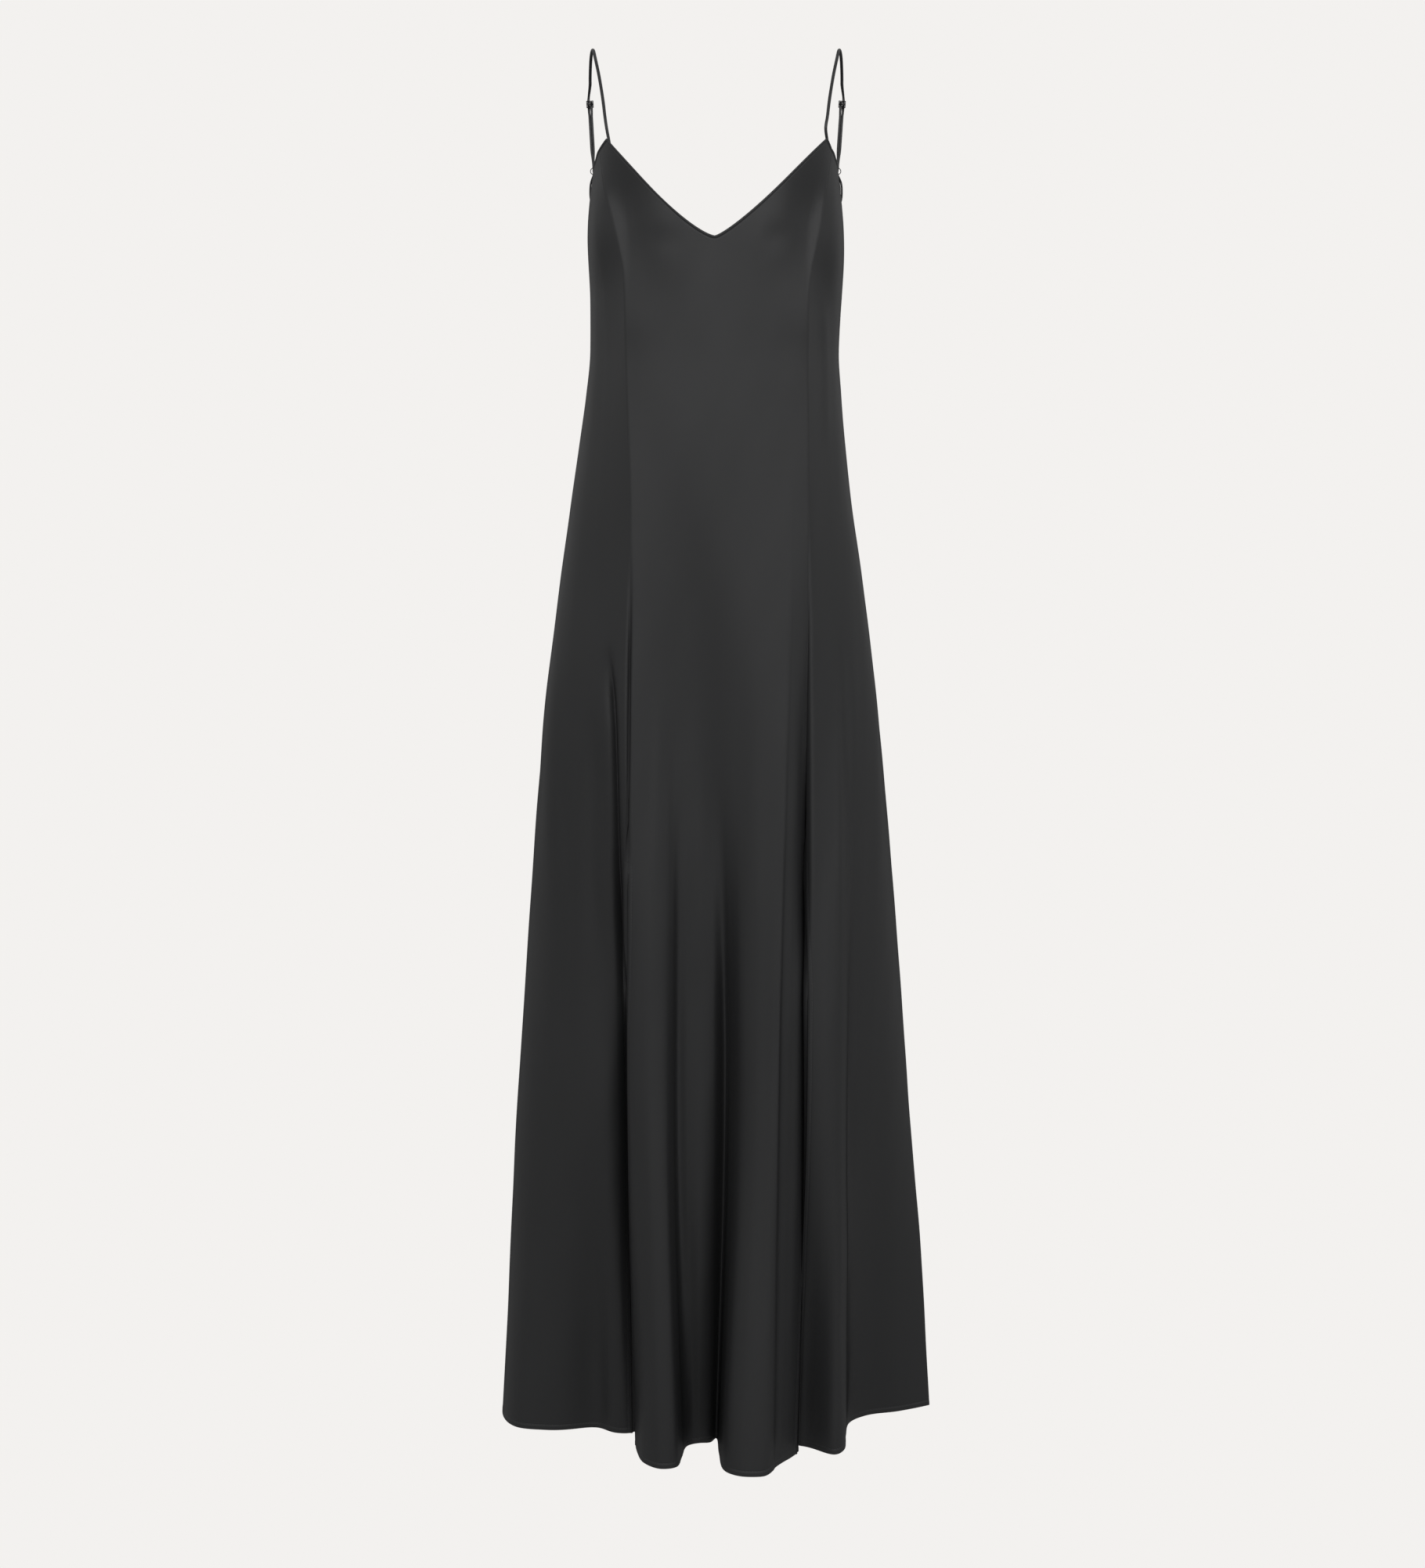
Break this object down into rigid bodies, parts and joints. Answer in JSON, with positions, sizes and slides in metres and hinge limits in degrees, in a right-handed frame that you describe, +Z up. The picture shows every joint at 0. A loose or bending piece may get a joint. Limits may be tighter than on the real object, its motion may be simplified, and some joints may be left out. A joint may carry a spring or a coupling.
{
  "type": "slip dress",
  "caption": "Long sleeveless slip dress, worn hollow: V neck, thin adjustable straps, princess seams that open into front slits, and a flared, softly folded skirt.",
  "frame": {"origin": "midway between the tops of the two straps, where the shoulders hold the dress", "axes": "+Z up, the front faces -Y, +X to the right seen from the front"},
  "size_m": [0.4747, 0.355, 1.475],
  "materials": {
    "satin": "soft satin sheen, fine weave",
    "strap_satin": "soft satin sheen, turned tube",
    "dark_metal": "dark, smooth coating"
  },
  "bodies": {
    "root": {"front_centre_panel": "satin", "front_side_panel_left": "satin", "front_side_panel_right": "satin", "back_panel": "satin", "strap_left": "strap_satin", "strap_right": "strap_satin", "ring_tab_left": "strap_satin", "ring_tab_right": "strap_satin", "slider_left": "dark_metal", "slider_right": "dark_metal", "ring_left": "dark_metal", "ring_right": "dark_metal"}
  },
  "joints": []
}
